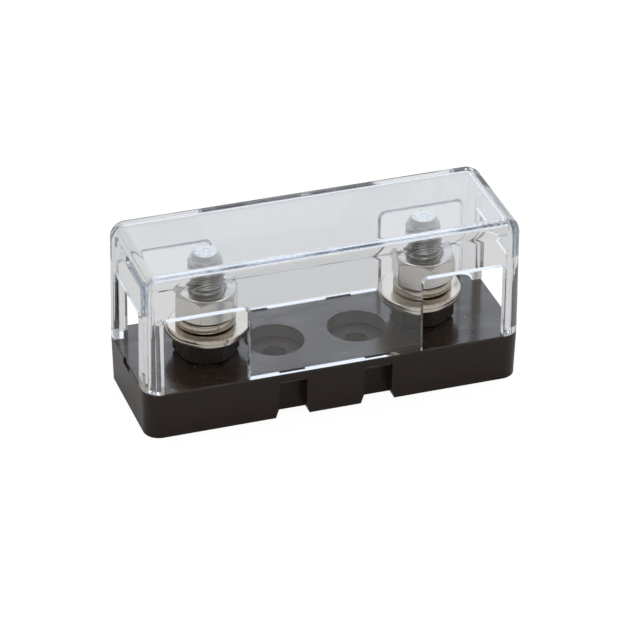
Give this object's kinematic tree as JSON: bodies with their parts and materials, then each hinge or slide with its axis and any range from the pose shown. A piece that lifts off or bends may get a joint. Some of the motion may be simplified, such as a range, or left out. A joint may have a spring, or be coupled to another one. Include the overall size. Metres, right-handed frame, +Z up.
{
  "type": "fuse block",
  "caption": "Bolt-down fuse block: black moulded base with threaded terminal studs, washers and nuts under a clear clip-on cover with cable windows.",
  "frame": {"origin": "middle of the base's underside, on the surface that the block is screwed to", "axes": "+X along the block towards the right stud, +Y towards the rear long wall, +Z up through the studs"},
  "size_m": [0.088, 0.031, 0.0402],
  "materials": {
    "black_plastic": "satin black moulding",
    "clear_plastic": "polished clear moulding",
    "bright_steel": "bright plated steel",
    "black_steel": "black finished steel"
  },
  "bodies": {
    "block": {"base": "black_plastic", "left_stud": "bright_steel", "left_seat_nut": "black_steel", "left_lower_washer": "bright_steel", "left_upper_washer": "bright_steel", "right_stud": "bright_steel", "right_seat_nut": "black_steel", "right_lower_washer": "bright_steel", "right_upper_washer": "bright_steel"},
    "cover": {"cover": "clear_plastic"},
    "left_lock": {"left_lock_washer": "bright_steel"},
    "left_nut": {"left_terminal_nut": "bright_steel"},
    "right_lock": {"right_lock_washer": "bright_steel"},
    "right_nut": {"right_terminal_nut": "bright_steel"}
  },
  "joints": [
    {"name": "cover_lift", "type": "slide", "parent": "block", "child": "cover", "axis": [0, 0, 1], "range_m": [0, 0.05]},
    {"name": "left_nut_climb", "type": "slide", "parent": "block", "child": "left_lock", "axis": [0, 0, 1], "range_m": [0, 0.00876]},
    {"name": "left_nut_turn", "type": "hinge", "parent": "left_lock", "child": "left_nut", "pos_m": [-0.0255, 0, 0.0214], "axis": [0, 0, 1], "range_deg": [0, 2520]},
    {"name": "right_nut_climb", "type": "slide", "parent": "block", "child": "right_lock", "axis": [0, 0, 1], "range_m": [0, 0.00876]},
    {"name": "right_nut_turn", "type": "hinge", "parent": "right_lock", "child": "right_nut", "pos_m": [0.0255, 0, 0.0214], "axis": [0, 0, 1], "range_deg": [0, 2520]}
  ],
  "couplings": [
    {"joint": "left_nut_climb", "follows": "left_nut_turn", "m_per_rad": 0.00019894},
    {"joint": "right_nut_climb", "follows": "right_nut_turn", "m_per_rad": 0.00019894}
  ]
}
